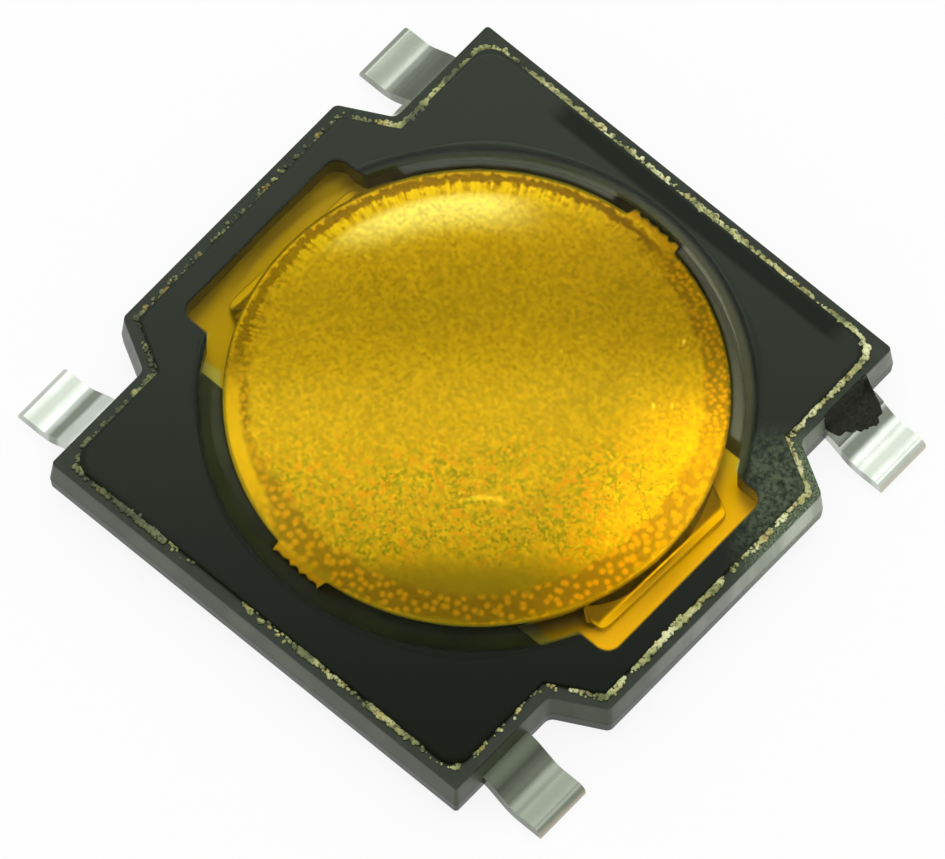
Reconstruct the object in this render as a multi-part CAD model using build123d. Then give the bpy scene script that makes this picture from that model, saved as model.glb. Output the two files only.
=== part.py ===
from build123d import *

import os
from math import atan2, hypot, radians, sqrt, tan

# Low-profile push switch for surface mounting: a metal snap dome under a see-through film.
#
# The housing is moulded around two stamped contacts. One carries the dome's two feet, and the
# other the button under the dome's middle. Pressing the film flattens the dome onto that button.
#
# Frame: origin on the board under the middle of the switch, +X the way the terminals point,
# +Z up. Lengths are in millimetres.

# Housing
BODY_Y = 4.80  # across the two plain sides
RING_WALL = 0.40  # from the round recess to a plain side
POCKET_WALL = 0.29  # from a pocket's end to a lug's face
NOTCH_DEPTH = 0.40  # from a lug's face back to the corners' face
NOTCH_SIDE = 0.23  # from a terminal to the root of the lug beside it
LUG_SLOPE = 0.22  # how far each side of a lug leans in, from root to face
STANDOFF = 0.10  # gap between the board and the underside
BODY_H = 0.35  # underside to top face
FLOOR_H = 0.16  # underside to the floor of the dome's recess
DRAFT = 4.0  # slope of the outer walls above and below the parting line, in degrees
CORNER_R = 0.03  # outer corners
LUG_R = 0.06  # corners of the lugs
ROOT_R = 0.08  # inner corners beside the lugs
POCKET_R = 0.12  # corners of the recess's two side pockets
MOUTH_R = 0.06  # where a pocket opens into the round recess
PIN_R = 0.16  # holes left by the pins that hold the contacts in the mould
GATE_R = 0.30  # dimple round the moulding gate
GATE_DEPTH = 0.03

# Contacts and terminals
LEAD_T = 0.10  # sheet thickness
TERMINAL_W = 0.49
TERMINAL_EDGE = 0.29  # from a plain side to the terminal nearest it
TERMINAL_OUT = 0.56  # reach of a terminal beyond the corners' face
FOOT_LEN = 0.28  # flat foot on the board
EXIT_LEN = 0.04  # straight piece outside the housing
BEND_R = 0.24  # bends, at the middle of the sheet, where the slope between them leaves room
BEND_ROOM = 0.9  # most of half the slope that one bend may take up
TIP_R = 0.07  # rolled upper edge of the tip
ROOT_LEN = 0.50  # wide root buried in the housing
RAIL_W = 0.20  # strip that joins the two terminals of one side
RAIL_EDGE = 0.10  # plastic outside a strip
ARM_W = 0.17  # strip from a terminal to a foot's pad
ARM_EDGE = 0.08  # plastic outside an arm
PAD_IN = 1.30  # inner edge of a pad, from the middle
PAD_HIDDEN = 0.08  # how far a pad runs under the plastic
PAD_EXTRA = 0.18  # how much wider than its pocket a pad is, on each side
STEM_W = 0.60  # strip to the middle contact
MIDDLE_R = 0.70  # round end of that strip
BUTTON_R = 0.28  # flat top of the raised button
BUTTON_FLANK = 0.16  # width of its sloping flank
BUTTON_WALL = 0.08  # sheet left in the flank, measured level
TAB_OUT = 0.08  # cut-off stub beside one terminal's root
TAB_LEN = 0.20

# Moulding flash over one terminal's root
FLASH_T = 0.015
FLASH_LEN = 0.15

# Dome
DOME_T = 0.05
DOME_GAP = 0.15  # clearance between the dome's rim and the round recess
RIM_H = 0.25  # recess floor to the top of the rim
CROWN_H = 0.08  # rise of the crown above the rim
LEG_IN = 0.15  # from the rim in to where a leg starts to bend down
LEG_RUN = 0.10  # sideways reach of a leg's slope
EAR_OUT = 0.05  # reach of a foot beyond the rim
EAR_HALF = 0.68  # half the width of a foot
EAR_R = 0.08
KNEE_R = 0.05  # bends of a leg, at the middle of the sheet
NIB_W = 0.44  # cut-off stubs of the carrier strip
NIB_OUT = 0.08
NIB_HORN = 0.03  # burr at each end of a stub
DOME_TURN = -2.0  # how far the dome sits turned in its pockets, in degrees
POCKET_END = 0.20  # clearance beyond a foot
POCKET_SIDE = 0.18  # clearance beside a foot
TRAVEL = 0.15  # dome's middle down to the button

# Film and its adhesive
FILM_T = 0.03
FILM_INSET = 0.10  # film edge from the edge of the top face
FILM_CORNER_R = 0.16
FILM_GAP = 0.01  # between the dome and the film
TENT_FOOT = 0.06  # where the film leaves the top face, beyond the recess
TENT_TOP = 0.10  # where it reaches the crown's line, beyond the dome's rim
BEAD_W = 0.05  # squeezed-out adhesive round the film
BEAD_H = 0.02
BEAD_GAP = 0.005

# How close two places count as one
NEAR = 0.001

# Levels
BOTTOM = STANDOFF
FLOOR = BOTTOM + FLOOR_H
TOP = BOTTOM + BODY_H
LEAD_LOW = FLOOR - LEAD_T
PARTING = FLOOR - LEAD_T / 2
RIM = FLOOR + RIM_H
CROWN = RIM + CROWN_H
BUTTON = CROWN - DOME_T - TRAVEL

# Recess and dome, from the plain sides inwards
RECESS_R = BODY_Y / 2 - RING_WALL
DOME_R = RECESS_R - DOME_GAP
LEG_X = DOME_R - LEG_IN
EAR_X = DOME_R + EAR_OUT
CROWN_R = (DOME_R**2 + CROWN_H**2) / (2 * CROWN_H)

# Lugs, corners and terminals, from the pockets outwards
POCKET_X = EAR_X + POCKET_END
LUG_X = 2 * (POCKET_X + POCKET_WALL)
CORNER_FACE = LUG_X / 2 - NOTCH_DEPTH
TIP_X = CORNER_FACE + TERMINAL_OUT
TERMINAL_Y = BODY_Y / 2 - TERMINAL_EDGE - TERMINAL_W / 2
LUG_ROOT = 2 * (TERMINAL_Y - TERMINAL_W / 2 - NOTCH_SIDE)
LUG_FACE = LUG_ROOT - 2 * LUG_SLOPE

# Places that several pieces share
TOP_SHRINK = (TOP - PARTING) * tan(radians(DRAFT))
POCKET_Y = EAR_HALF + POCKET_SIDE
PAD_Y = POCKET_Y + PAD_EXTRA
RAIL_Y = BODY_Y / 2 - RAIL_EDGE - RAIL_W / 2
ARM_X = CORNER_FACE - ARM_EDGE - ARM_W / 2


def crown_height(radius, lift=0.0):
    """Height of the crown's sphere, moved out by lift, at this distance from the middle."""
    ball = CROWN_R + lift
    return CROWN - CROWN_R + sqrt(ball**2 - radius**2)


def box_between(x0, x1, y0, y1):
    """Rectangle between two corners."""
    return Pos((x0 + x1) / 2, (y0 + y1) / 2) * Rectangle(abs(x1 - x0), abs(y1 - y0))


def slab(sketch, low, high):
    """The sketch made solid between two levels."""
    return extrude(Pos(0, 0, low) * sketch, high - low)


def outline(inset, corner_r, lug_r, root_r):
    """The housing's notched outline, moved in by inset."""
    lean = LUG_SLOPE / NOTCH_DEPTH
    shift = inset * (sqrt(1 + lean**2) - lean)
    x, y, lug = CORNER_FACE - inset, BODY_Y / 2 - inset, LUG_X / 2 - inset
    face, root = LUG_FACE / 2 - shift, LUG_ROOT / 2 - shift
    quarter = [(x, y), (x, root), (lug, face)]
    left = [(-a, b) for a, b in reversed(quarter)]
    upper = quarter[::-1] + left[::-1]
    lower = [(a, -b) for a, b in reversed(upper)]
    plan = make_face(Polyline(*upper, *lower, close=True))
    ends = plan.vertices()
    corners = [v for v in ends if abs(v.Y) > y - NEAR]
    lugs = [v for v in ends if abs(v.X) > lug - NEAR]
    roots = [v for v in ends if v not in corners and v not in lugs]
    plan = fillet(corners, corner_r)
    lugs = [plan.vertices().sort_by_distance(v)[0] for v in lugs]
    plan = fillet(lugs, lug_r)
    roots = [plan.vertices().sort_by_distance(v)[0] for v in roots]
    return fillet(roots, root_r)


def drafted_half(level):
    """The outline from the parting line to a level, drawn in by the draft."""
    inset = abs(level - PARTING) * tan(radians(DRAFT))
    wide = Pos(0, 0, PARTING) * outline(0, CORNER_R, LUG_R, ROOT_R)
    narrow = Pos(0, 0, level) * outline(inset, CORNER_R, LUG_R, ROOT_R)
    return loft([wide.face(), narrow.face()], ruled=True)


def recess_plan():
    """Round recess with a pocket for each of the dome's feet."""
    pockets = Rectangle(2 * POCKET_X, 2 * POCKET_Y)
    pockets = fillet(pockets.vertices(), POCKET_R)
    plan = Circle(RECESS_R) + pockets
    mouth_x = sqrt(RECESS_R**2 - POCKET_Y**2)
    mouths = [v for v in plan.vertices() if abs(abs(v.X) - mouth_x) < NEAR]
    return fillet(mouths, MOUTH_R)


def terminal(side_x, y):
    """A gull-wing terminal from its root in the housing to its tip, on the +X or -X side."""
    foot = LEAD_T / 2
    run = TIP_X - FOOT_LEN - CORNER_FACE - EXIT_LEN
    drop = PARTING - foot
    room = BEND_ROOM * hypot(run, drop) / 2 / tan(atan2(drop, run) / 2)
    path = FilletPolyline(
        (CORNER_FACE - ROOT_LEN, PARTING),
        (CORNER_FACE + EXIT_LEN, PARTING),
        (TIP_X - FOOT_LEN, foot),
        (TIP_X, foot),
        radius=min(BEND_R, room),
    )
    strip = extrude(Plane.XZ * trace(path, LEAD_T), TERMINAL_W / 2, both=True)
    tip = strip.edges().filter_by(Axis.Y).group_by(Axis.X)[-1]
    strip = fillet(tip.sort_by(Axis.Z)[-1], TIP_R)
    if side_x < 0:
        strip = mirror(strip, about=Plane.YZ)
    return Pos(0, y, 0) * strip


def terminal_pair(side_y):
    """Two terminals and the buried strip that joins them, along the +Y or -Y side."""
    rail_end = CORNER_FACE - ARM_EDGE
    plan = Pos(0, side_y * RAIL_Y) * Rectangle(2 * rail_end, RAIL_W)
    inner = side_y * (TERMINAL_Y - TERMINAL_W / 2)
    for side_x in (1, -1):
        root = side_x * (CORNER_FACE - ROOT_LEN)
        plan += box_between(root, side_x * rail_end, inner, side_y * RAIL_Y)
    pair = slab(plan, LEAD_LOW, FLOOR)
    for side_x in (1, -1):
        pair += terminal(side_x, side_y * TERMINAL_Y)
    return pair


def make_outer_contact():
    """The -Y terminals, and the pads under the dome's two feet."""
    plan = Sketch()
    for side in (1, -1):
        plan += box_between(side * PAD_IN, side * (POCKET_X + PAD_HIDDEN), -PAD_Y, PAD_Y)
        plan += Pos(side * ARM_X, -TERMINAL_Y / 2) * Rectangle(ARM_W, TERMINAL_Y)
    return terminal_pair(-1) + slab(plan, LEAD_LOW, FLOOR)


def make_button():
    """The raised button that the dome's middle meets, pressed up out of the sheet."""
    base = BUTTON_R + BUTTON_FLANK
    section = Polyline(
        (0, BUTTON),
        (BUTTON_R, BUTTON),
        (base, FLOOR),
        (base, LEAD_LOW),
        (base - BUTTON_WALL, LEAD_LOW),
        (BUTTON_R - BUTTON_WALL, BUTTON - LEAD_T),
        (0, BUTTON - LEAD_T),
        close=True,
    )
    return revolve(Plane.XZ * make_face(section), Axis.Z)


def make_centre_contact():
    """The +Y terminals, and the strip to the button in the middle."""
    plan = box_between(-STEM_W / 2, STEM_W / 2, 0, RAIL_Y) + Circle(MIDDLE_R)
    sheet = slab(plan - Circle(BUTTON_R + BUTTON_FLANK), LEAD_LOW, FLOOR)
    inner = TERMINAL_Y - TERMINAL_W / 2
    tab = box_between(-CORNER_FACE - TAB_OUT, -CORNER_FACE + TAB_OUT, inner - TAB_LEN, inner)
    return terminal_pair(1) + sheet + make_button() + slab(tab, LEAD_LOW, FLOOR)


def make_flash():
    """Thin flash that ran out of the mould over the root of the +X +Y terminal."""
    low, high = TERMINAL_Y - TERMINAL_W / 2, TERMINAL_Y + TERMINAL_W / 2
    reach = box_between(CORNER_FACE - TOP_SHRINK, CORNER_FACE + FLASH_LEN, low, high)
    lifted = Pos(0, 0, FLASH_T) * terminal(1, TERMINAL_Y)
    return lifted & slab(reach, 0, FLOOR + FLASH_T)


def make_housing(*contacts):
    """Housing with its recess, moulded around the two contacts."""
    body = drafted_half(TOP) + drafted_half(BOTTOM)
    body -= slab(recess_plan(), FLOOR, TOP + BODY_H)
    pad_x = (PAD_IN + POCKET_X) / 2
    pins = [(side * pad_x, end * POCKET_Y / 2) for side in (1, -1) for end in (1, -1)]
    pins.append((0, (MIDDLE_R + RECESS_R) / 2))
    for x, y in pins:
        body -= slab(Pos(x, y) * Circle(PIN_R), BOTTOM - BODY_H, LEAD_LOW)
    gate = Pos(0, -(MIDDLE_R + RECESS_R) / 2) * Circle(GATE_R)
    body -= slab(gate, BOTTOM - BODY_H, BOTTOM + GATE_DEPTH)
    body += make_flash()
    for contact in contacts:
        body -= contact
    return body


def dome_plan():
    """The dome's round part seen from above, cut off where its legs start."""
    plan = Circle(DOME_R)
    reach = DOME_R + NIB_OUT
    for side in (1, -1):
        nib = Polyline(
            (-NIB_W / 2, 0),
            (-NIB_W / 2, side * (DOME_R - NIB_OUT / 2)),
            (-NIB_W / 2 - NIB_HORN, side * reach),
            (-NIB_W / 2 + NIB_HORN, side * (reach - NIB_HORN)),
            (NIB_W / 2 - NIB_HORN, side * (reach - NIB_HORN)),
            (NIB_W / 2 + NIB_HORN, side * reach),
            (NIB_W / 2, side * (DOME_R - NIB_OUT / 2)),
            (NIB_W / 2, 0),
            close=True,
        )
        plan += make_face(nib)
    return plan & Rectangle(2 * LEG_X, 2 * (reach + NIB_HORN))


def make_crown(reach, low, high):
    """Skin of the crown's sphere out to reach, between two offsets from its outer face."""
    edges = []
    for lift in (high, low):
        points = [(r, crown_height(r, lift)) for r in (0, reach / 2, reach)]
        edges.append(ThreePointArc(*points))
    outer, inner = edges
    edges.append(Line(outer @ 0, inner @ 0))
    edges.append(Line(outer @ 1, inner @ 1))
    return revolve(Plane.XZ * make_face(Curve() + edges), Axis.Z)


def make_leg():
    """One leg and foot, on the +X side."""
    start = crown_height(LEG_X) - DOME_T / 2
    rest = FLOOR + DOME_T / 2
    path = FilletPolyline(
        (LEG_X, start),
        (LEG_X + LEG_RUN, rest),
        (EAR_X, rest),
        radius=KNEE_R,
    )
    leg = extrude(Plane.XZ * trace(path, DOME_T), EAR_HALF, both=True)
    leg &= slab(box_between(LEG_X, EAR_X, -EAR_HALF, EAR_HALF), FLOOR, CROWN)
    ends = leg.edges().filter_by(Axis.Z).group_by(Axis.X)[-1]
    return fillet(ends, EAR_R)


def make_dome():
    """Snap dome: a shallow crown on two legs, with the stubs of its carrier strip."""
    reach = DOME_R + NIB_OUT + NIB_HORN
    dome = make_crown(reach, -DOME_T, 0) & slab(dome_plan(), 0, 2 * CROWN)
    leg = make_leg()
    dome += leg
    dome += mirror(leg, about=Plane.YZ)
    return Rot(0, 0, DOME_TURN) * dome


def make_film():
    """Cover film: flat on the housing, tented over the recess and drawn over the crown."""
    plan = outline(TOP_SHRINK + FILM_INSET, FILM_CORNER_R, LUG_R, ROOT_R)
    foot = RECESS_R + TENT_FOOT
    shoulder = DOME_R + TENT_TOP
    plate = slab(plan - Circle(foot), TOP, TOP + FILM_T)
    section = Polyline(
        (foot, TOP),
        (shoulder, crown_height(shoulder, FILM_GAP)),
        (shoulder, crown_height(shoulder, FILM_GAP + FILM_T)),
        (foot, TOP + FILM_T),
        close=True,
    )
    tent = revolve(Plane.XZ * make_face(section), Axis.Z)
    return plate + tent + make_crown(shoulder, FILM_GAP, FILM_GAP + FILM_T)


def make_bead():
    """Adhesive squeezed out along the film's edge, level with half the film."""
    near = TOP_SHRINK + FILM_INSET - BEAD_GAP
    inner = outline(near, FILM_CORNER_R, LUG_R, ROOT_R)
    outer = outline(near - BEAD_W, FILM_CORNER_R + BEAD_W, LUG_R, ROOT_R)
    return slab(outer - inner, TOP, TOP + BEAD_H)


def build():
    """Every piece of the switch, by name."""
    outer_contact = make_outer_contact()
    centre_contact = make_centre_contact()
    return {
        "housing": make_housing(outer_contact, centre_contact),
        "outer_contact": outer_contact,
        "centre_contact": centre_contact,
        "contact_dome": make_dome(),
        "cover_film": make_film(),
        "film_adhesive": make_bead(),
    }


os.makedirs("parts", exist_ok=True)
for name, piece in build().items():
    export_step(piece, f"parts/{name}.step")
    print(f"{name}: {piece.volume:.4f} mm3, {len(piece.solids())} solid")
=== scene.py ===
# %% [markdown]
# # A low push switch under an amber film
# The switch is smaller than a fingernail: a black moulded base, four bright terminals, a snap dome
# and a see-through film glued over the top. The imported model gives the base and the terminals. This
# file gives the looks, and four pieces that need a finer surface: the dome, the film, the glue and
# a ragged skin of flash.

import math
import random

import bmesh
import bpy
from mathutils import Matrix, Vector, noise
from mathutils.bvhtree import BVHTree


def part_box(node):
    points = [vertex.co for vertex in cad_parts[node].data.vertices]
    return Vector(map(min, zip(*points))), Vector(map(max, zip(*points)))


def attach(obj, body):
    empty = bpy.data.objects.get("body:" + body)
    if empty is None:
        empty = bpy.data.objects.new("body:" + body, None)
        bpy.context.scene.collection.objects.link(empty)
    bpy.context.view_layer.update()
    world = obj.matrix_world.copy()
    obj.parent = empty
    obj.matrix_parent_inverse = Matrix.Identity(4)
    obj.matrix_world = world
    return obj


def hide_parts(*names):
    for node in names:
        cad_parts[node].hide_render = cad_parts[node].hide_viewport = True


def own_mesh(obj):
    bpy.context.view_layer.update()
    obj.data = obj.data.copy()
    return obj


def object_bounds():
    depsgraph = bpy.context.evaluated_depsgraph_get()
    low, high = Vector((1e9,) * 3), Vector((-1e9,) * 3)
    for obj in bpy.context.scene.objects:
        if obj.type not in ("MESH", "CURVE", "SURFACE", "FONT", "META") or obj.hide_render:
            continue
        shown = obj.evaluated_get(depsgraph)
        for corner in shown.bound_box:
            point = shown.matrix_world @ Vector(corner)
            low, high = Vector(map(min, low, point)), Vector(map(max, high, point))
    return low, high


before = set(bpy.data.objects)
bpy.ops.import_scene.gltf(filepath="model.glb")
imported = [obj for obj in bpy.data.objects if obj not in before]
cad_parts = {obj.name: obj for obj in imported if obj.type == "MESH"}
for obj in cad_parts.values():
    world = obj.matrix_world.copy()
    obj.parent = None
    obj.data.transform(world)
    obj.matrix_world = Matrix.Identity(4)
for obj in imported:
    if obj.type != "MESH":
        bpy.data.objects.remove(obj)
CAD_BOX = [list(corner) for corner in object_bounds()]
MM = 0.001
print("nodes:", sorted(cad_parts))

# %% [markdown]
# ## Places
# The heights and the film's reach come from the imported nodes, so they stay in step with the model.
# Three sizes in plan that both the paint and the meshes need are set here too.

# %% Places from the imported nodes
housing_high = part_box("housing")[1]
film_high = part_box("cover_film")[1]
dome_low, dome_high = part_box("contact_dome")
glue_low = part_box("film_adhesive")[0]
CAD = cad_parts
TOP = housing_high[2]
FLOOR = dome_low[2]
CROWN = dome_high[2]
DOME_OFF = 0.054  # how far towards +Y the dome sits off the middle, in millimetres
CAP_R = 1.85  # how far out the dome's cap reaches, in millimetres
TENT_FOOT = 2.06  # where the film comes down onto the base, in millimetres from the dome's middle
print(f"top face {TOP / MM:.3f} mm, dome {FLOOR / MM:.3f} to {CROWN / MM:.3f} mm")

# %% [markdown]
# ## Shader maths
# A material reads better as sums than as dozens of node calls. The first class wraps one socket,
# and each operator adds the Math node it stands for. The second holds a tree of nodes, for a
# material or for the world, and the third adds what a material on this switch needs.


# %% A socket that does sums
class Value:
    """A number that varies over a surface."""

    def __init__(self, nodes, socket):
        self.nodes, self.socket = nodes, socket

    def math(self, operation, first, second):
        made = self.nodes.node("ShaderNodeMath", {"operation": operation}, {0: first, 1: second})
        return Value(self.nodes, made.outputs[0])

    def __add__(self, other):
        return self.math("ADD", self, other)

    __radd__ = __add__

    def __sub__(self, other):
        return self.math("SUBTRACT", self, other)

    def __rsub__(self, other):
        return self.math("SUBTRACT", other, self)

    def __mul__(self, other):
        return self.math("MULTIPLY", self, other)

    __rmul__ = __mul__

    def __truediv__(self, other):
        return self.math("DIVIDE", self, other)

    def root(self):
        return self.math("SQRT", self, 0.0)

    def unsigned(self):
        return self.math("ABSOLUTE", self, 0.0)


# %% A tree of nodes
class Nodes:
    """The shader nodes of a material or of the world."""

    def __init__(self, tree):
        self.tree = tree
        self.tree.nodes.clear()

    def node(self, kind, settings=None, inputs=None):
        """Any node: its settings first, then the values or links of its sockets."""
        made = self.tree.nodes.new(kind)
        for key, value in (settings or {}).items():
            if key == "stops":
                self.set_stops(made.color_ramp, value)
            else:
                setattr(made, key, value)
        for key, value in (inputs or {}).items():
            socket = made.inputs[key]
            if isinstance(value, Value):
                self.tree.links.new(value.socket, socket)
            elif isinstance(value, bpy.types.NodeSocket):
                self.tree.links.new(value, socket)
            else:
                socket.default_value = value
        return made

    def set_stops(self, ramp, stops):
        while len(ramp.elements) < len(stops):
            ramp.elements.new(0.5)
        for element, (place, colour) in zip(ramp.elements, stops):
            element.position = place
            element.color = (*colour, 1)

    def seen_directly(self):
        """1 where a ray shows the surroundings themselves: to the camera, in gloss or through film."""
        path = self.node("ShaderNodeLightPath")
        direct = Value(self, path.outputs["Is Camera Ray"])
        for kind in ("Is Glossy Ray", "Is Transmission Ray"):
            direct = direct.math("MAXIMUM", direct, Value(self, path.outputs[kind]))
        return direct


# %% A material
class Paint(Nodes):
    """One material. Places are in millimetres."""

    def __init__(self, name):
        self.material = bpy.data.materials.new(name)
        self.material.use_nodes = True
        super().__init__(self.material.node_tree)
        self.out = self.node("ShaderNodeOutputMaterial")
        place = self.node("ShaderNodeTexCoord").outputs["Object"]
        scaled = self.node("ShaderNodeVectorMath", {"operation": "SCALE"}, {0: place, "Scale": 1 / MM})
        self.place = scaled.outputs[0]
        split = self.node("ShaderNodeSeparateXYZ", {}, {0: self.place})
        self.x, self.y, self.z = (Value(self, socket) for socket in split.outputs)

    def noise(self, scale, detail=3.0, stretch=(1, 1, 1)):
        place = self.node("ShaderNodeVectorMath", {"operation": "MULTIPLY"}, {0: self.place, 1: stretch})
        inputs = {"Vector": place.outputs[0], "Scale": scale, "Detail": detail}
        return Value(self, self.node("ShaderNodeTexNoise", {}, inputs).outputs["Fac"])

    def cells(self, scale):
        """Distance from the nearest of many points scattered over the plan, in cells."""
        inputs = {"Vector": self.place, "Scale": scale}
        made = self.node("ShaderNodeTexVoronoi", {"voronoi_dimensions": "2D"}, inputs)
        return Value(self, made.outputs["Distance"])

    def flecks(self, scale, off=0.0):
        """A chance number for each of many small patches scattered over the plan."""
        moved = self.node("ShaderNodeVectorMath", {"operation": "ADD"}, {0: self.place, 1: (off, off, 0)})
        inputs = {"Vector": moved.outputs[0], "Scale": scale}
        made = self.node("ShaderNodeTexVoronoi", {"voronoi_dimensions": "2D"}, inputs)
        parts = self.node("ShaderNodeSeparateColor", {}, {0: made.outputs["Color"]})
        return Value(self, parts.outputs[0])

    def spokes(self, out, scale):
        """A noise that changes only with the bearing from the middle."""
        way = self.node("ShaderNodeCombineXYZ", {}, {0: self.x / out, 1: self.y / out})
        inputs = {"Vector": way.outputs[0], "Scale": scale, "Detail": 3.0}
        return Value(self, self.node("ShaderNodeTexNoise", {}, inputs).outputs["Fac"])

    def middle_distance(self, off=0.0):
        """Distance from the middle, or from a point a little way along Y."""
        y = self.y - off
        return (self.x * self.x + y * y).root()

    def larger(self, first, second):
        return first.math("MAXIMUM", first, second)

    def step(self, value, low, high):
        """0 below low, 1 above high and smooth between."""
        inputs = {"Value": value, "From Min": low, "From Max": high}
        made = self.node("ShaderNodeMapRange", {"interpolation_type": "SMOOTHSTEP"}, inputs)
        return Value(self, made.outputs[0])

    def band(self, value, rise, full, fade, gone):
        """0 outside rise to gone, and 1 between full and fade."""
        return self.step(value, rise, full) * (1 - self.step(value, fade, gone))

    def ramp(self, value, *stops):
        made = self.node("ShaderNodeValToRGB", {"stops": stops}, {0: value})
        return made.outputs[0]

    def mix(self, factor, first, second):
        made = self.node("ShaderNodeMix", {"data_type": "RGBA"}, {0: factor})
        for socket, colour in ((made.inputs[6], first), (made.inputs[7], second)):
            if isinstance(colour, tuple):
                socket.default_value = (*colour, 1)
            else:
                self.tree.links.new(colour, socket)
        return made.outputs[2]

    def bump(self, height, strength, distance):
        inputs = {"Height": height, "Strength": strength, "Distance": distance * MM}
        return self.node("ShaderNodeBump", {}, inputs).outputs[0]

    def shader(self, **inputs):
        """A Principled shader. An underscore in a name stands for a space."""
        named = {key.replace("_", " "): value for key, value in inputs.items()}
        return self.node("ShaderNodeBsdfPrincipled", {}, named).outputs[0]

    def surface(self, shader):
        """Makes a shader the material's surface, and hands back the material."""
        self.tree.links.new(shader, self.out.inputs[0])
        return self.material

    def principled(self, **inputs):
        return self.surface(self.shader(**inputs))


print("shader helpers ready")

# %% [markdown]
# ## Two directions across the switch
# The trapped air and the painted shade aren't even round the dome: bubbles crowd towards the corner at
# +X -Y, the opposite rim has a ragged line, and painted shade and highlights run along that diagonal.
# So two helpers measure along that diagonal and across it. They belong to the switch, and turn with it.

# %% Directions
DIAGONAL = math.radians(41.73)


def toward_near_corner(paint):
    """Millimetres from the middle towards the corner at +X -Y."""
    return paint.x * math.sin(DIAGONAL) + paint.y * -math.cos(DIAGONAL)


def toward_right(paint):
    """Millimetres from the middle towards the corner at +X +Y."""
    return paint.x * math.cos(DIAGONAL) + paint.y * math.sin(DIAGONAL)


def painted_crescent_reflection(paint):
    """A painted reflection: a pale crescent on the far left of the dome."""
    near, across = toward_near_corner(paint), toward_right(paint) + 0.40
    rim = paint.band(paint.middle_distance(DOME_OFF), 1.22, 1.54, 1.60, 1.66)
    return rim * (1 - paint.step(near, -1.45, -1.10)) * (1 - paint.step(across.unsigned(), 0.45, 1.05))


print("directions ready")

# %% [markdown]
# ## Black moulding
# The base is moulded plastic. It is nearly black. Above the line where the mould halves met, its
# upright sides are painted a paler grey green as painted sheen, palest on the lug at +X as a painted
# highlight, and below that line they keep the dark tone. A patch by that lug is paler and grainy. An
# image would need the mesh unwrapped, so height and place alone tell the bands apart.


# %% Black moulding
PARTING = FLOOR / MM - 0.05
MOULDING_GLOSS = 0.22


def pale_grainy_patch(paint, reach, fine):
    """A paler grainy patch by the lug at +X, from a reach towards +X +Y on."""
    along = paint.band(toward_near_corner(paint), 0.1, 0.5, 1.1, 1.6)
    return along * paint.step(toward_right(paint), reach, 2.15) * paint.step(fine, 0.30, 0.72)


def black_moulding():
    """Black with a soft grain, painted sheen on the upper upright sides, a painted highlight on the lug at
    +X, and a paler grainy patch.
    """
    paint = Paint("black_moulding")
    grain = paint.noise(9.0, 5.0)
    fine = paint.noise(60.0, 2.0)
    tone = paint.ramp(grain, (0.3, (0.009, 0.016, 0.007)), (0.7, (0.018, 0.028, 0.013)))
    # Painted sheen: the upright sides above the parting line are painted a paler grey green in patches, and
    # below it they keep the dark tone.
    above = paint.step(paint.z, PARTING - 0.02, PARTING + 0.04)
    under_top = 1 - paint.step(paint.z, TOP / MM - 0.03, TOP / MM - 0.005)
    band = above * under_top
    side_sheen_patches = paint.step(paint.noise(3.0, 4.0, (1, 1, 0.3)), 0.35, 0.65)
    side = paint.mix(band * (0.45 + side_sheen_patches * 0.35), tone, (0.078, 0.097, 0.055))
    # Painted highlight: the lug face at +X is painted palest.
    lug_highlight = paint.step(paint.x, 1.8, 2.3) * paint.step(paint.y, -1.2, 1.2)
    side = paint.mix(band * lug_highlight * (0.45 + side_sheen_patches * 0.40), side, (0.66, 0.70, 0.60))
    side = paint.mix(pale_grainy_patch(paint, 1.85, fine) * 0.50, side, (0.30, 0.42, 0.22))
    rough = 0.24 + grain * 0.18
    return paint.principled(
        Base_Color=side, Roughness=rough, Specular_IOR_Level=MOULDING_GLOSS,
        Normal=paint.bump(fine * 0.4 + grain, 0.05, 0.003),
    )


# %% [markdown]
# ## Bright plated terminals
# The contacts are stamped from sheet and plated. Soft grey bands across each terminal at its bends are
# painted reflections, two terminals are darkened with painted shade, darkest at their roots, and the cut
# end shows a browner metal. The distance from the middle line places the bands, so one material serves
# all four terminals, and noise frays them.


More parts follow.
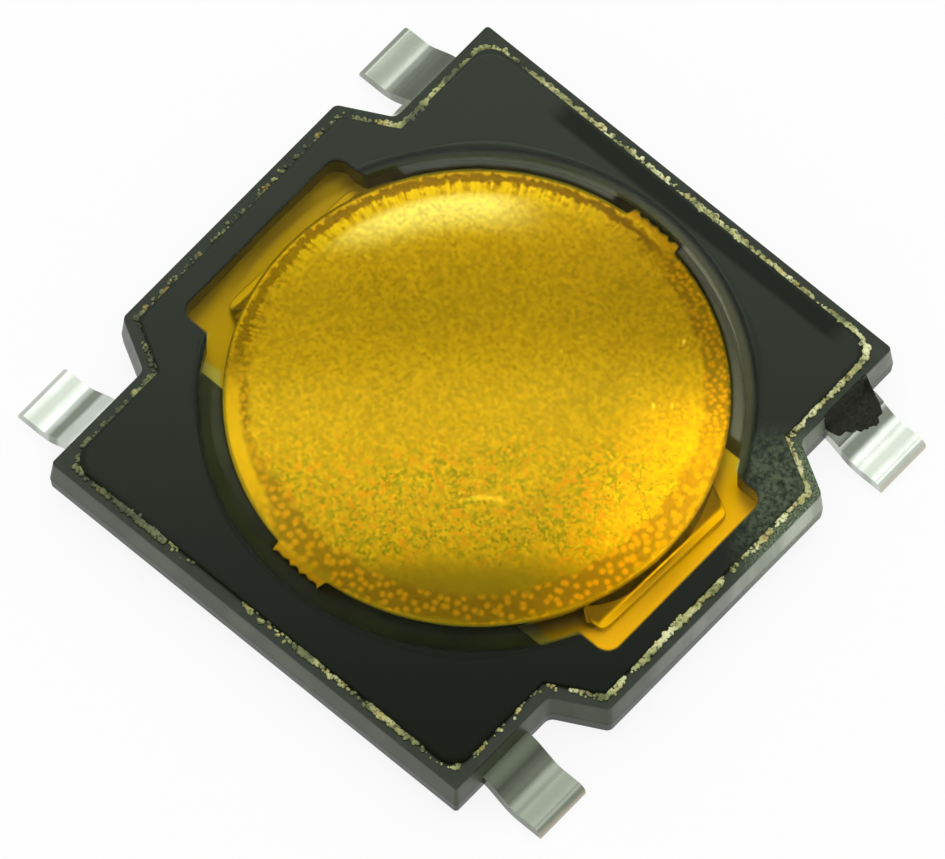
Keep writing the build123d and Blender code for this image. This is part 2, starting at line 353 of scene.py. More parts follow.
# %% Bright plating
def bright_plating():
    """Pale metal on the pads, and grey bands of painted reflection and painted shade where the terminals
    are out in the open.
    """
    paint = Paint("bright_plating")
    lines = paint.noise(14.0, 3.0, (0.25, 4.0, 1.0))
    cloud = paint.noise(4.0, 3.0)
    tone = paint.ramp(cloud, (0.3, (0.46, 0.50, 0.44)), (0.7, (0.57, 0.61, 0.55)))
    tip = abs(CAD_BOX[1][0]) / MM
    out = paint.x.unsigned() + (cloud - 0.5) * 0.03
    exposed = paint.step(paint.y.unsigned(), 1.4, 1.5)
    # Painted light: root marks each terminal's neck for a painted shadow, and bend and foot place grey
    # bands of painted reflection.
    root = 1 - paint.step(out, tip - 0.42, tip - 0.34)
    bend_reflection = paint.band(out, tip - 0.41, tip - 0.37, tip - 0.33, tip - 0.28)
    foot = paint.band(out, tip - 0.22, tip - 0.16, tip - 0.13, tip - 0.07)
    pad = paint.mix(exposed, (0.76, 0.73, 0.64), tone)
    banded = paint.mix(bend_reflection * exposed * 0.80, pad, (0.13, 0.15, 0.11))
    banded = paint.mix(foot * exposed * 0.60, banded, (0.26, 0.30, 0.24))
    near = toward_near_corner(paint)
    # Painted shade: the terminals towards the near and the far corner are darkened, darkest at their roots.
    terminal_shade = exposed * (paint.step(near, 1.4, 2.4) * 0.82 + paint.step(0 - near, 1.4, 2.4) * 0.66)
    banded = paint.mix(terminal_shade, banded, (0.13, 0.15, 0.11))
    banded = paint.mix(root * terminal_shade, banded, (0.045, 0.055, 0.035))
    end = paint.step(out, tip - 0.02, tip - 0.004) * 0.5
    colour = paint.mix(end, banded, (0.50, 0.44, 0.30))
    return paint.principled(
        Base_Color=colour, Metallic=1.0, Roughness=0.42 + lines * 0.03 - exposed * 0.20,
        Normal=paint.bump(cloud, 0.02, 0.002),
    )


print("moulding and plating ready")

# %% [markdown]
# ## Dome metal
# The dome is thin spring steel with a satin plating. A low roughness keeps the edges of the lamps
# readable in it. Everything fine is painted here and not on the film, because light crosses the
# film's two faces on its way in and again on its way out, and that would smear it. From the middle
# outwards come green and orange specks, a ring of trapped bubbles with painted highlights and painted
# shade, a ragged line, painted highlights on the far rim and the left edge, and painted shade on the
# near edge.


# %% Specks on the dome
BUBBLES, SMALL_BUBBLES = 13.5, 21.0  # cells to a millimetre


def with_specks(paint, colour):
    """Green and orange specks, thickest across the near half."""
    cloud = paint.noise(1.8, 3.0)
    near = toward_near_corner(paint)
    lower = paint.band(near, 0.05, 0.75, 1.25, 1.55) * (1 - paint.step(paint.middle_distance(), 1.70, 1.80))
    patchy = lower * paint.step(cloud, 0.30, 0.54)
    green = paint.step(paint.flecks(46.0), 0.42, 0.72) * paint.step(paint.noise(13.0, 4.0), 0.36, 0.56)
    colour = paint.mix(green * patchy * 0.72, colour, (0.36, 0.52, 0.30))
    warm = paint.step(paint.flecks(34.0, 3.3), 0.55, 0.80) * paint.step(paint.noise(9.0, 4.0), 0.36, 0.60)
    return paint.mix(warm * lower * 0.70, colour, (1.0, 0.64, 0.34))


# %% Bubbles round the dome
def far_side(paint):
    """1 on the part of the rim away from the corner at +X -Y."""
    return 1 - paint.step(toward_near_corner(paint) + toward_right(paint) * 0.3, -1.0, -0.55)


def with_bubbles(paint, colour):
    """Painted shade on the near edge, and the ring of trapped bubbles on it, each with a painted highlight
    on top and painted shade between.
    """
    near, out = toward_near_corner(paint), paint.middle_distance()
    crowd = paint.step(near, 0.1, 0.9)
    # Painted shade: the near edge of the dome is dulled towards grey.
    near_edge_shade = paint.step(near, 1.22, 1.52)
    colour = paint.mix(near_edge_shade * 0.80, colour, (0.36, 0.38, 0.36))
    frayed = out + (paint.noise(9.0, 3.0) - 0.5) * 0.18 + crowd * 0.07
    ring = paint.band(frayed, 1.64, 1.70, 1.86, 1.92) * (1 - far_side(paint))
    for size, share in ((SMALL_BUBBLES, 1 - crowd), (BUBBLES, crowd)):
        cell = paint.cells(size)
        # Painted shade between the bubbles, and a painted highlight on each bubble's top.
        between = paint.step(cell, 0.30, 0.56)
        bubble_highlight = 1 - paint.step(cell, 0.16, 0.44)
        colour = paint.mix(ring * share * (between * 0.28 + 0.46), colour, (0.38, 0.30, 0.18))
        colour = paint.mix(ring * share * bubble_highlight * 0.62, colour, (1.0, 0.74, 0.32))
    return colour


# %% Edge of the dome
def with_edge(paint, colour):
    """The far rim's painted highlight band, teeth and ragged line, the stubs and a painted highlight on the
    left edge.
    """
    near, right, out = toward_near_corner(paint), toward_right(paint), paint.middle_distance()
    teeth, ragged = paint.spokes(out, 62.0), paint.noise(22.0, 4.0)
    wander, far = ragged - 0.5, far_side(paint)
    leftward = 1 - paint.step(right, -1.5, -0.9)
    # Painted highlight: a bright band inside the far rim.
    bright = paint.band(out + wander * 0.20, 1.60, 1.68, 1.74, 1.77) * far
    bright = bright * (1 - leftward) * (1 - paint.step(right, 0.5, 1.2))
    colour = paint.mix(bright * 0.75, colour, (1.0, 1.0, 0.70))
    tooth = paint.band(out + wander * 0.24, 1.60, 1.73, 1.76, 1.79)
    tooth = tooth * paint.step(teeth + wander * 0.6, 0.44, 0.64)
    colour = paint.mix(tooth * far * 0.66, colour, (0.50, 0.37, 0.16))
    line = paint.band(out + wander * 0.12 + (teeth - 0.5) * 0.08, 1.725, 1.755, 1.795, 1.825)
    colour = paint.mix(line * far * (0.92 - leftward * 0.25), colour, (0.30, 0.22, 0.11))
    stub = paint.step(out, CAP_R - 0.005, CAP_R + 0.01)
    colour = paint.mix(stub * (0.45 + ragged * 0.4), colour, (0.72, 0.50, 0.24))
    # Painted highlight: a bright edge on the left of the rim.
    left = paint.band(out, 1.70, 1.75, 1.84, 1.88) * (1 - paint.step(right, -1.4, -0.9))
    left = left * paint.band(near, -0.3, 0.0, 0.7, 1.1)
    return paint.mix(left * 0.85, colour, (1.0, 0.95, 0.45))


# %% Dome metal
def dome_metal():
    """Satin metal with all its marks. The flat of each foot is paler and rougher."""
    paint = Paint("dome_metal")
    grain = paint.flecks(40.0, 1.7) * 0.5 + paint.noise(20.0, 6.0) * 0.5
    tone = paint.ramp(grain, (0.15, (0.68, 0.65, 0.56)), (0.85, (1.0, 0.97, 0.90)))
    colour = with_edge(paint, with_bubbles(paint, with_specks(paint, tone)))
    cloud = paint.noise(1.8, 3.0)
    foot = paint.step(paint.middle_distance(), CAP_R + 0.002, CAP_R + 0.015)
    foot = foot * paint.step(paint.x.unsigned(), 1.4, 1.5)
    colour = paint.mix(foot * 0.8, colour, (1.0, 0.98, 0.90))
    return paint.principled(
        Base_Color=colour, Metallic=1.0, Roughness=0.15 + cloud * 0.04 + foot * 0.30,
        Normal=paint.bump(grain, 0.03, 0.002),
    )


# %% [markdown]
# ## Amber film and its glue
# The film is a clear amber plastic. Light passes it on its way down and again on its way back, so
# its own colour is paler than what shows over metal. Where it is glued flat on the black base almost
# no light comes back, so there a plain dark shader under a thin coat stands for film, glue and base
# together, mixed in by place. It renders with less noise than clear film a hair above black. The
# squeezed-out glue is pale and full of dark specks.


# %% Gold and marked parts of the film
# Place along X and Y, and radius.
SPECKS = ((1.02, 0.84, 0.018), (0.24, 0.71, 0.012), (0.84, 1.38, 0.016), (1.12, 0.93, 0.014))


def over_metal(paint):
    """1 where the film lies over bare metal: the dome, its stubs, the pockets and the pads' corners."""
    x, y, out = paint.x.unsigned(), paint.y.unsigned(), paint.middle_distance(DOME_OFF)
    dome = 1 - paint.step(out, CAP_R + 0.006, CAP_R + 0.03)
    stub = (1 - paint.step(x, 0.30, 0.34)) * (1 - paint.step(out, 1.93, 1.95))
    beyond_x, beyond_y = paint.larger(x - 1.98, 0.0), paint.larger(y - 0.74, 0.0)
    pocket = 1 - paint.step((beyond_x * beyond_x + beyond_y * beyond_y).root(), 0.10, 0.13)
    corner = (1 - paint.step(paint.middle_distance(), 1.98, 2.0)) * (1 - paint.step(y, 1.03, 1.06))
    corner = corner * paint.step(x, 1.30, 1.40)
    return paint.larger(paint.larger(dome, stub), paint.larger(pocket, corner))


def film_marks(paint):
    """One short curved scratch and a few pale specks."""
    along = (paint.x - 0.595) * 0.74 + (paint.y + 0.55) * 0.67
    across = (paint.y + 0.55) * 0.74 - (paint.x - 0.595) * 0.67 + along * along * 0.9
    mark = paint.band(along, -0.20, -0.12, 0.12, 0.20) * (1 - paint.step(across.unsigned(), 0.003, 0.010))
    mark = mark * 0.7
    for x, y, size in SPECKS:
        apart = ((paint.x - x) * (paint.x - x) + (paint.y - y) * (paint.y - y)).root()
        mark = paint.larger(mark, 1 - paint.step(apart, size * 0.5, size))
    return mark


# %% The film's amber
def film_amber(paint, cloud, crescent, marks):
    """The clear film's colour: warmer by place, with painted shade at the far right, painted highlights on
    the far rim and pale marks.
    """
    near, right, out = toward_near_corner(paint), toward_right(paint), paint.middle_distance(DOME_OFF)
    colour = paint.ramp(cloud, (0.3, (0.575, 0.460, 0.034)), (0.7, (0.615, 0.495, 0.044)))
    # Painted shade: dimmer towards the far right.
    dim = paint.step(right * 0.8 - near * 0.6, 0.1, 1.7) * (1 - paint.step(near, -0.6, 0.0))
    colour = paint.mix(dim * 0.5, colour, (0.50, 0.385, 0.025))
    warm = paint.step(right + near * 0.5, 0.9, 1.9) * paint.step(near, -0.5, 0.4)
    colour = paint.mix(warm * 0.85, colour, (0.90, 0.65, 0.010))
    # Painted highlights: a paler band and a pale crescent on the far rim.
    glow = paint.band(out, 1.58, 1.68, 1.74, 1.80) * (1 - paint.step(near, -1.2, -0.7))
    colour = paint.mix(glow * (1 - paint.step(right, 0.5, 1.2)) * 0.35, colour, (0.74, 0.63, 0.05))
    colour = paint.mix(crescent * 0.8, colour, (0.80, 0.74, 0.26))
    return paint.mix(marks * 0.8, colour, (1.0, 0.97, 0.60))


# %% Amber film
FILM_IOR, COAT_IOR, COAT_ROUGH = 1.12, 1.52, 0.12


def amber_film():
    """Clear over metal and gaps, dark where it is glued, with painted shade towards the near corner and in
    a strip along the +Y side, and a painted lighter ring over the gap round the dome.
    """
    paint = Paint("amber_film")
    cloud, fine = paint.noise(1.2, 3.0), paint.noise(30.0, 3.0)
    near, right, out = toward_near_corner(paint), toward_right(paint), paint.middle_distance(DOME_OFF)
    crescent, marks = painted_crescent_reflection(paint), film_marks(paint)
    flat = 1 - over_metal(paint)
    strip = paint.band(paint.y, 2.10, 2.15, 2.25, 2.29) * paint.band(paint.x, -1.2, -1.0, 1.5, 1.7)
    # Painted shade: the film over the base is darker towards the near corner.
    olive = paint.mix(paint.step(near, -2.8, 2.8), (0.48, 0.58, 0.38), (0.27, 0.33, 0.22))
    # Painted light: the ring over the gap round the dome is a paler olive and glossier, most on the right.
    ring = paint.band(out, 1.85, 1.87, 1.99, 2.05)
    olive = paint.mix(ring * (0.45 + paint.step(right, 0.0, 1.8) * 0.5), olive, (0.74, 0.74, 0.22))
    # Painted shade: a darker strip along the +Y side.
    olive = paint.mix(strip * 0.8, olive, (0.22, 0.27, 0.17))
    colour = paint.mix(flat, film_amber(paint, cloud, crescent, marks), olive)
    beyond = 1 - paint.step(near, -0.8, 0.3)
    sheen = paint.larger(0.108 - near * 0.042, 0.0) * (1 - strip * 0.75)
    sheen = sheen + ring * (beyond * 0.10 + paint.step(right, 0.6, 1.8) * 0.42)
    coat = flat * sheen + (1 - flat) * (crescent * 0.46 + marks * 0.15)
    clear = paint.shader(
        Base_Color=colour, Roughness=0.08 + fine * 0.04, Transmission_Weight=1.0, IOR=FILM_IOR,
        Coat_Weight=coat, Coat_Roughness=COAT_ROUGH, Coat_IOR=COAT_IOR,
        Normal=paint.bump(fine, 0.03, 0.003),
    )
    # Painted shade: the glued film darkens towards the near corner and along the strip.
    dark = paint.mix(paint.step(near, -2.8, 2.8), (0.018, 0.026, 0.014), (0.005, 0.007, 0.003))
    dark = paint.mix(strip * 0.7, dark, (0.004, 0.006, 0.003))
    dark = paint.mix(pale_grainy_patch(paint, 1.80, fine) * 0.45, dark, (0.16, 0.22, 0.12))
    glued = paint.shader(
        Base_Color=dark, Roughness=0.26 + cloud * 0.14, Specular_IOR_Level=0.055,
        Coat_Weight=sheen, Coat_Roughness=COAT_ROUGH, Coat_IOR=COAT_IOR,
    )
    on_base = flat * paint.step(out, TENT_FOOT - 0.04, TENT_FOOT)
    mixed = paint.node("ShaderNodeMixShader", {}, {0: on_base, 1: clear, 2: glued})
    return paint.surface(mixed.outputs[0])


# %% Speckled glue
def speckled_glue():
    """Pale lumps, greyer towards -X -Y, with rusty ones and dark specks."""
    paint = Paint("speckled_glue")
    patch = paint.noise(5.0, 4.0)
    speck = paint.noise(32.0, 3.0)
    bright = paint.step(paint.x * 0.9 + paint.y * 0.5, -3.4, 2.2)
    pale = paint.ramp(
        patch + (bright - 0.5) * 0.26,
        (0.34, (0.055, 0.065, 0.022)), (0.46, (0.16, 0.18, 0.060)), (0.58, (0.38, 0.40, 0.14)),
        (0.78, (0.82, 0.84, 0.46)),
    )
    rust = paint.step(paint.noise(7.0, 2.0), 0.56, 0.68) * 0.6
    pale = paint.mix(rust, pale, (0.42, 0.27, 0.035))
    colour = paint.mix(paint.step(speck, 0.52, 0.62) * 0.80, pale, (0.030, 0.038, 0.018))
    return paint.principled(
        Base_Color=colour, Roughness=0.45 + speck * 0.2, Normal=paint.bump(speck, 0.5, 0.01)
    )


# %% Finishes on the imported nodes
plating = bright_plating()
FINISH = {"housing": black_moulding(), "outer_contact": plating, "centre_contact": plating}
for node, finish in FINISH.items():
    CAD[node].data.materials.clear()
    CAD[node].data.materials.append(finish)
print("finishes:", ", ".join(f"{n}={m.name}" for n, m in FINISH.items()))

# %% [markdown]
# ## Meshes from rings
# The dome and the film are both nearly flat and drawn from the middle outwards, so one helper
# builds both: rings of points at a share of the way to an edge, each lifted to its height.

# %% A smooth piece from points
def piece_from(name, places, faces):
    """A smooth-shaded piece from places in metres."""
    mesh = bpy.data.meshes.new(name)
    mesh.from_pydata(places, [], faces)
    mesh.validate()
    for face in mesh.polygons:
        face.use_smooth = True
    made = bpy.data.objects.new(name, mesh)
    bpy.context.collection.objects.link(made)
    return made


# %% Rings and thickness
TURNS = 540


def ring_mesh(name, rings, turns, point):
    """A disc of rings. point(ring, angle) gives a place in millimetres, and ring 0 is the middle."""
    places = [point(0, 0.0)]
    for ring in range(1, rings + 1):
        places += [point(ring, math.tau * step / turns) for step in range(turns)]
    faces = [(0, 1 + step, 1 + (step + 1) % turns) for step in range(turns)]
    for ring in range(1, rings):
        near, far = 1 + (ring - 1) * turns, 1 + ring * turns
        for step in range(turns):
            after = (step + 1) % turns
            faces.append((near + step, far + step, far + after, near + after))
    return piece_from(name, [[c * MM for c in place] for place in places], faces)


def thicken(piece, thickness):
    """Gives an open sheet its thickness, downwards."""
    solid = piece.modifiers.new("sheet", "SOLIDIFY")
    solid.thickness, solid.offset = thickness * MM, -1
    bpy.context.view_layer.objects.active = piece
    piece.select_set(True)
    bpy.ops.object.modifier_apply(modifier="sheet")
    piece.select_set(False)


print("turns:", TURNS)

# %% [markdown]
# ## Snap dome
# The dome is a shallow cap of a large ball. Two feet bend down from its sides onto their pads, and
# two cut-off stubs show where it hung in the stamping strip. It sits slightly turned, and a hair
# off the middle of its recess. A flat sheet could be bent with modifiers, but heights worked out
# from the ball keep the cap's shine free of ripples, and the same formula gives the film its shape.

# %% Dome sizes
SHEET = 0.05
CAP_RISE = 0.08
BALL_R = (CAP_R**2 + CAP_RISE**2) / (2 * CAP_RISE)
LEG_X = 1.70
FOOT_X = 1.90
FOOT_HALF = 0.68
FOOT_CORNER = 0.08
BEND = 0.15  # how far a leg runs while it bends down
STUB_HALF = 0.22
STUB_OUT = 0.07
TURNED = math.radians(-2.0)
crown = CROWN / MM
foot_top = FLOOR / MM + SHEET
print(f"the ball has a radius of {BALL_R:.1f} mm")


# %% Heights and edge of the cap
def cap_height(radius):
    """Top of the dome this far from its middle."""
    return crown - BALL_R + math.sqrt(BALL_R**2 - radius**2)


def smooth(share):
    """0 to 1 with a soft start and end."""
    share = min(1.0, max(0.0, share))
    return share * share * (3 - 2 * share)


def cap_edge(angle):
    """How far out the cap reaches: its rim, or a stub."""
    reach = CAP_R
    across = abs(CAP_R * math.cos(angle))
    if across < STUB_HALF:
        torn = 0.012 * math.sin(across * 70 + angle) + 0.006 * math.sin(across * 190)
        reach += STUB_OUT * (0.72 + 0.28 * smooth((across - 0.16) / 0.05)) + torn
    return reach


DOME_RINGS = 60


def dome_point(ring, angle):
    """A place on the cap: a share of the way out to its edge."""
    radius = cap_edge(angle) * ring / DOME_RINGS
    return radius * math.cos(angle), radius * math.sin(angle), cap_height(radius)


dome = ring_mesh("snap_dome", DOME_RINGS, TURNS, dome_point)
print("dome points:", len(dome.data.vertices))

# %% Dome legs
LEG_STEPS, LEG_ROWS = 24, 40


def leg_mesh(side):
    """A foot: a strip that leaves the cap, bends down and lies flat on its pad."""
    places, faces = [], []
    for row in range(LEG_ROWS + 1):
        y = -FOOT_HALF + 2 * FOOT_HALF * row / LEG_ROWS
        start = cap_height(math.hypot(LEG_X, y))
        beyond = max(0.0, (abs(y) - FOOT_HALF + FOOT_CORNER) / FOOT_CORNER)
        corner = FOOT_CORNER * (1 - math.sqrt(max(0.0, 1 - beyond**2)))
        for step in range(LEG_STEPS + 1):
            share = step / LEG_STEPS
            x = LEG_X + (FOOT_X - corner - LEG_X) * share
            fall = smooth((x - LEG_X) / BEND)
            places.append((side * x * MM, y * MM, (start + (foot_top - start) * fall) * MM))
    across = LEG_STEPS + 1
    for row in range(LEG_ROWS):
        for step in range(LEG_STEPS):
            a = row * across + step
            b = a + across
            faces.append((a, a + 1, b + 1, b) if side > 0 else (a, b, b + 1, a + 1))
    return piece_from("leg", places, faces)


legs = [leg_mesh(side) for side in (1, -1)]
print("points in a leg:", len(legs[0].data.vertices))

# %% Dome in one piece
bpy.ops.object.select_all(action="DESELECT")
for leg in legs:
    leg.select_set(True)
dome.select_set(True)
bpy.context.view_layer.objects.active = dome
bpy.ops.object.join()
dome.data.transform(Matrix.Rotation(TURNED, 4, "Z"))
thicken(dome, SHEET)
dome.data.materials.append(dome_metal())
dome.location.y = DOME_OFF * MM
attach(dome, "base")
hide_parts("contact_dome")
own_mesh(dome)
print(f"dome: {len(dome.data.polygons)} faces")

# %% [markdown]
# ## Cover film
# The film lies flat on the base, climbs from the recess to the dome's rim like a tent, and is drawn
# over the crown. Its outline has the base's notches, a little inside the base's own edge. A cloth
# drop could find the tent's shape, but a height for each distance from the middle is exact and the
# same every run. A hair of room is left under the flat part, because two faces in exactly the same
# place render black.

# %% Film outline
FILM_SHEET = 0.03
FILM_CORNER = 0.16
SHOULDER = 1.95
OVER_DOME = 0.01
LIFT = 0.002
film_x, film_y = film_high[0] / MM, film_high[1] / MM
FILM_NOTCH = 0.40  # from a lug's face back to the corners' face
LUG_LEAN = 0.22  # how much narrower a lug is at its face than at its root, on each side
corner_x = film_x - FILM_NOTCH
root_y = 1.39 - 0.07
FAR = 1e9


def straight(reach, share):
    """Distance along a ray to a straight edge, or very far where the ray runs beside it."""
    return reach / share if share > 1e-6 else FAR


def film_edge(angle):
    """Distance from the middle to the film's notched edge."""
    c, s = abs(math.cos(angle)), abs(math.sin(angle))
    for_corner = straight(corner_x, c)
    slope = (root_y * FILM_NOTCH + corner_x * LUG_LEAN) / (s * FILM_NOTCH + c * LUG_LEAN)
    for_lug = min(straight(film_x, c), slope)
    on_lug = s * for_corner < root_y or s * for_lug < root_y
    reach = min(straight(film_y, s), max(for_corner, for_lug) if on_lug else for_corner)
    x, y = reach * c, reach * s
    mid_x, mid_y = corner_x - FILM_CORNER, film_y - FILM_CORNER
    if x > mid_x and y > mid_y and for_corner <= reach + 0.4:
        along = mid_x * c + mid_y * s
        reach = along + math.sqrt(max(0.0, along**2 - mid_x**2 - mid_y**2 + FILM_CORNER**2))
    return reach


# %% Film heights and mesh
def film_height(radius):
    """Top of the film this far from the dome's middle: over the cap, down the tent or flat."""
    flat = TOP / MM + LIFT + FILM_SHEET
    if radius >= TENT_FOOT:
        return flat
    shoulder = cap_height(SHOULDER) + OVER_DOME + FILM_SHEET
    if radius > SHOULDER:
        share = (radius - SHOULDER) / (TENT_FOOT - SHOULDER)
        return shoulder + (flat - shoulder) * share
    return cap_height(radius) + OVER_DOME + FILM_SHEET


FILM_INNER, FILM_RINGS, FILM_TURNS = 76, 90, 480


def film_point(ring, angle):
    """A place on the film: on circles round the dome, and beyond them on the way to its edge."""
    radius = TENT_FOOT * min(ring, FILM_INNER) / FILM_INNER
    x, y = radius * math.cos(angle), radius * math.sin(angle) + DOME_OFF
    share = max(0, ring - FILM_INNER) / (FILM_RINGS - FILM_INNER)
    reach = film_edge(angle)
    x += (reach * math.cos(angle) - x) * share
    y += (reach * math.sin(angle) - y) * share
    return x, y, film_height(radius)


film = ring_mesh("amber_film", FILM_RINGS, FILM_TURNS, film_point)
film.data.materials.append(amber_film())
thicken(film, FILM_SHEET)
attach(film, "base")
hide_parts("cover_film")
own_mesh(film)
print(f"film: {len(film.data.polygons)} faces")

# %% [markdown]
# ## Squeezed-out glue
# Glue has crept out along the film's edge in small lumps with gaps between them. One bead with a
# rough surface would look like a cord, so a walk along the edge drops flattened balls instead, and
# two slow noises choose where they crowd, where they are large and where there are none.

# %% Walk along the film's edge
WALK = 4000
edge_points = []
for step in range(WALK):
    angle = math.tau * step / WALK
    reach = film_edge(angle)
    edge_points.append(Vector((reach * math.cos(angle), reach * math.sin(angle), 0)))
edge_length = sum((edge_points[i] - edge_points[i - 1]).length for i in range(WALK))
print(f"film edge: {edge_length:.2f} mm round")

# %% Glue lumps
random.seed(5)
LUMP_STEP, LUMP_ROWS = 0.017, 3
LUMP_SMALL, LUMP_MORE, LUMP_DRIFT = 0.007, 0.015, 0.008
GLUE_UNDER, GLUE_WIDE = 0.006, 0.055  # how far the lumps' middles reach under the film, and out
glue_base = glue_low[2] / MM


def glue_share(place):
    """How much glue there is at a place on the edge, 0 to 1."""
    patches = noise.noise(place * 1.3 + Vector((7, 3, 1)))
    lumps = noise.noise(place * 9.0)
    more = 0.28 * smooth((place.x * 0.9 + place.y * 0.5 + 1.2) / 3.4)
    return min(1.0, max(0.0, 0.40 + more + 0.9 * patches + 0.5 * lumps))


def lump(middle, size, long, turn):
    """Points of a ball made longer, turned and cut flat at the base's top face."""
    c, s = math.cos(turn), math.sin(turn)
    for point in ball_points:
        x, y = point.x * size * long, point.y * size
        x, y = x * c - y * s, x * s + y * c
        up = glue_base + size * 0.85 * (0.35 + point.z)
        yield (middle.x + x) * MM, (middle.y + y) * MM, max(glue_base, up) * MM


# %% Walk and drop the lumps
ball = bmesh.new()
bmesh.ops.create_icosphere(ball, subdivisions=2, radius=1.0)
ball_points = [v.co.copy() for v in ball.verts]
ball_faces = [[v.index for v in f.verts] for f in ball.faces]
ball.free()
places, faces = [], []
walked = 0.0
for i in range(WALK):
    here, before = edge_points[i], edge_points[i - 1]
    walked += (here - before).length
    if walked < LUMP_STEP:
        continue
    walked = 0.0
    share = glue_share(here)
    outward = here.normalized()
    for row in range(LUMP_ROWS):
        if random.random() > share * 1.15:
            continue
        size = (LUMP_SMALL + LUMP_MORE * share) * random.uniform(0.6, 1.5)
        offset = random.uniform(-GLUE_UNDER, GLUE_WIDE - size)
        drift = Vector((random.uniform(-1, 1), random.uniform(-1, 1), 0)) * LUMP_DRIFT
        middle = here + outward * offset + drift
        turn = random.uniform(0, math.tau)
        long = random.uniform(1.0, 1.5)
        start = len(places)
        places += lump(middle, size, long, turn)
        faces += [[start + corner for corner in face] for face in ball_faces]
glue = piece_from("glue_bead", places, faces)
glue.data.materials.append(speckled_glue())
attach(glue, "base")
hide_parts("film_adhesive")
print(f"glue: {len(faces) // len(ball_faces)} lumps, {len(glue.data.polygons)} faces")

# %% [markdown]
# ## Ragged flash
# Where the mould leaked, a skin of plastic ran out over one terminal. Its edge is ragged, and it is
# duller than the moulding. Paint alone would leave it no thickness, so the skin is a small net of
# points dropped onto what lies below, thinner towards its edge.

# %% Flash over one terminal
FLASH_Y, FLASH_HALF = 1.868, 0.232
FLASH_FROM, FLASH_REACH = 1.965, 0.235
FLASH_ROWS, FLASH_STEPS = 56, 26
FLASH_SKIN = 0.014
EYE, DOWN = 1 * MM, Vector((0, 0, -1))
depsgraph = bpy.context.evaluated_depsgraph_get()
skins = [BVHTree.FromObject(CAD[node], depsgraph) for node in ("housing", "centre_contact")]


def height_below(x, y):
    """Top of the moulding or the terminal under a place, in millimetres."""
    found = [skin.ray_cast(Vector((x * MM, y * MM, EYE)), DOWN)[0] for skin in skins]
    return max((hit.z / MM for hit in found if hit), default=0.0)


def flash_reach(across):
    """How far the flash ran out, across from -1 to 1 over the terminal."""
    bulge = 0.62 + 0.38 * smooth((across + 0.75) / 1.1)
    wave = noise.noise(Vector((across * 4.0, 2.0, 0))) * 0.16
    wave += noise.noise(Vector((across * 9.0, 5.0, 0))) * 0.06
    return FLASH_REACH * (bulge + wave) * math.sqrt(max(0.0, 1 - abs(across) ** 7))


# %% Net of the flash
places, faces = [], []
for row in range(FLASH_ROWS + 1):
    across = -1 + 2 * row / FLASH_ROWS
    for step in range(FLASH_STEPS + 1):
        share = step / FLASH_STEPS
        x, y = FLASH_FROM + flash_reach(across) * share, FLASH_Y + FLASH_HALF * across
        skin = FLASH_SKIN * math.sqrt(max(0.0, 1 - share**4)) * math.sqrt(max(0.0, 1 - across**6))
        places.append((x * MM, y * MM, (height_below(x, y) + skin) * MM))
for row in range(FLASH_ROWS):
    for step in range(FLASH_STEPS):
        a = row * (FLASH_STEPS + 1) + step
        faces.append((a, a + 1, a + FLASH_STEPS + 2, a + FLASH_STEPS + 1))
flash = piece_from("flash", places, faces)
thicken(flash, 0.004)
print(f"flash: {len(flash.data.polygons)} faces")

# %% Dull flash
flash_paint = Paint("dull_flash")
crumbs = flash_paint.noise(40.0, 3.0)
flash.data.materials.append(flash_paint.principled(
    Base_Color=flash_paint.ramp(crumbs, (0.35, (0.006, 0.008, 0.005)), (0.7, (0.030, 0.032, 0.016))),
    Roughness=0.65 + crumbs * 0.2, Specular_IOR_Level=0.2, Normal=flash_paint.bump(crumbs, 0.3, 0.004),
))
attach(flash, "base")
print("flash finish:", flash_paint.material.name)

# %% [markdown]
# ## Floor, light and camera
# A pale floor and broad soft lamps suit a shiny part this small. The floor and the world show white
# to the camera and in gloss, and light the switch less than that, so pale metal keeps its shades.
# The long lens stands a quarter of a metre off, which for a part of 5 mm leaves almost no
# perspective.

# %% Floor
WIDE, DROP = 0.2, 0.01 * MM
WHITE_SHARE = 0.88
corners = [(-WIDE, -WIDE, 0), (WIDE, -WIDE, 0), (WIDE, WIDE, 0), (-WIDE, WIDE, 0)]
floor = piece_from("floor", corners, [(0, 1, 2, 3)])
floor.location.z = -DROP
floor_paint = Paint("pale_floor")
plain = floor_paint.node("ShaderNodeBsdfDiffuse", {}, {"Color": (0.90, 0.90, 0.90, 1)}).outputs[0]
bright = floor_paint.node("ShaderNodeEmission", {}, {"Color": (1, 1, 1, 1), "Strength": 1.0}).outputs[0]
share = floor_paint.seen_directly() * WHITE_SHARE
seen = floor_paint.node("ShaderNodeMixShader", {}, {0: share, 1: plain, 2: bright}).outputs[0]
floor.data.materials.append(floor_paint.surface(seen))
print(f"floor {2 * WIDE:.1f} m wide")

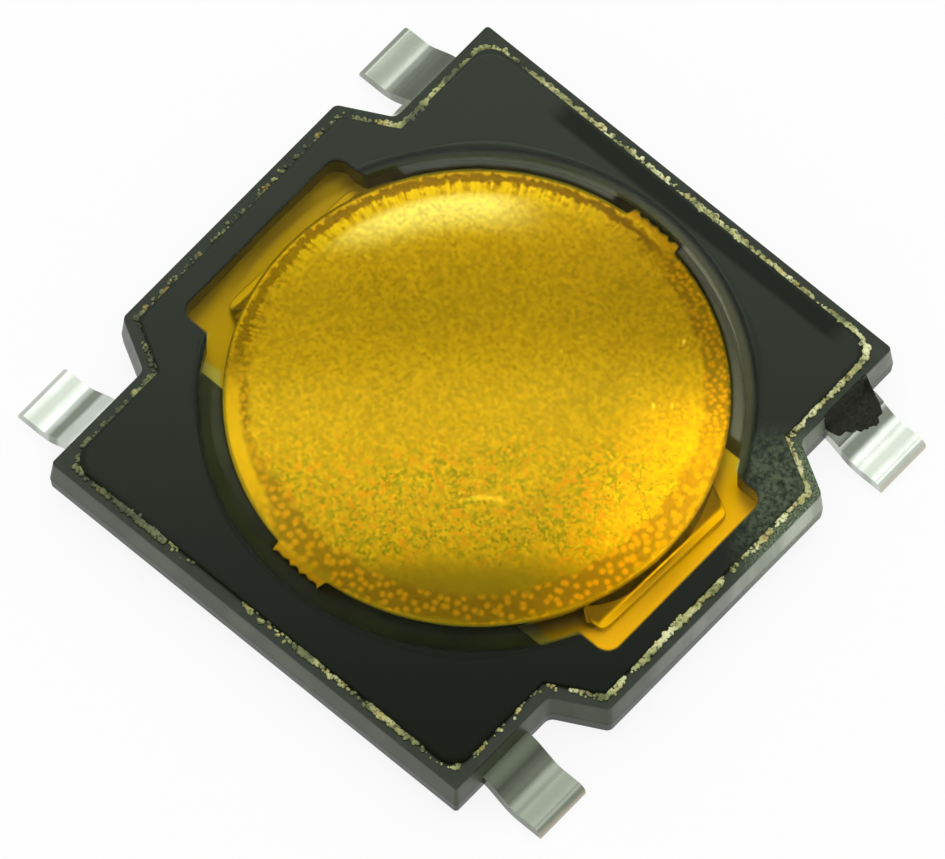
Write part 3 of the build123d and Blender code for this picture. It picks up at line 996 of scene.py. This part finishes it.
# %% World
AMBIENT = 0.62
world = bpy.data.worlds.new("soft_room")
bpy.context.scene.world = world
world.use_nodes = True
room = Nodes(world.node_tree)
dim, white = (
    room.node("ShaderNodeBackground", {}, {0: (1, 1, 1, 1), 1: strength}).outputs[0]
    for strength in (AMBIENT, 1.0)
)
blend = room.node("ShaderNodeMixShader", {}, {0: room.seen_directly(), 1: dim, 2: white})
room.node("ShaderNodeOutputWorld", {}, {0: blend.outputs[0]})
print("the world lights at", AMBIENT)

# %% Lamps
AZIMUTH, ELEVATION = math.radians(41.73), math.radians(64.17)
LAMP_HEIGHT = 0.15
BEHIND = -AZIMUTH
# Name, strength, width in metres, and the heights its two long edges are seen at.
LAMPS = (
    ("window", 2.00, 0.20, 42, 56.0),
    ("strip", 1.75, 0.20, 63.2, 71.0),
    ("overhead", 1.05, 0.26, 80, 113),
)


def lamp(name, glow, wide, low, high):
    """A level panel across the far side, seen from the switch between two heights in degrees."""
    far, near = (LAMP_HEIGHT / math.tan(math.radians(angle)) for angle in (low, high))
    light = bpy.data.lights.new(name, "AREA")
    light.shape, light.size, light.size_y = "RECTANGLE", wide, far - near
    light.energy = glow * math.pi * wide * (far - near)
    made = bpy.data.objects.new(name, light)
    bpy.context.collection.objects.link(made)
    away = (far + near) / 2
    made.location = (away * math.sin(BEHIND), away * math.cos(BEHIND), LAMP_HEIGHT)
    made.rotation_euler.z = -BEHIND
    return made


lamps = [lamp(*row) for row in LAMPS]
print("lamps:", ", ".join(made.name for made in lamps))

# %% Camera
AWAY, VIEW_WIDE, SENSOR = 0.25, 6.888 * MM, 36.0
back = Vector((
    math.sin(AZIMUTH) * math.cos(ELEVATION),
    -math.cos(AZIMUTH) * math.cos(ELEVATION),
    math.sin(ELEVATION),
))
turn = (-back).to_track_quat("-Z", "Y")
AIM_RIGHT, AIM_UP = 0.0044, 0.0233
aim = turn @ Vector((AIM_RIGHT * MM, AIM_UP * MM, 0))
camera_data = bpy.data.cameras.new("camera")
camera_data.sensor_width, camera_data.lens = SENSOR, AWAY * SENSOR / VIEW_WIDE
camera_data.clip_start, camera_data.clip_end = 0.01, 10
camera = bpy.data.objects.new("camera", camera_data)
bpy.context.collection.objects.link(camera)
camera.rotation_mode = "QUATERNION"
camera.location, camera.rotation_quaternion = aim + back * AWAY, turn
bpy.context.scene.camera = camera
bpy.context.scene.view_settings.view_transform = "Standard"
print(f"lens {camera_data.lens:.0f} mm")
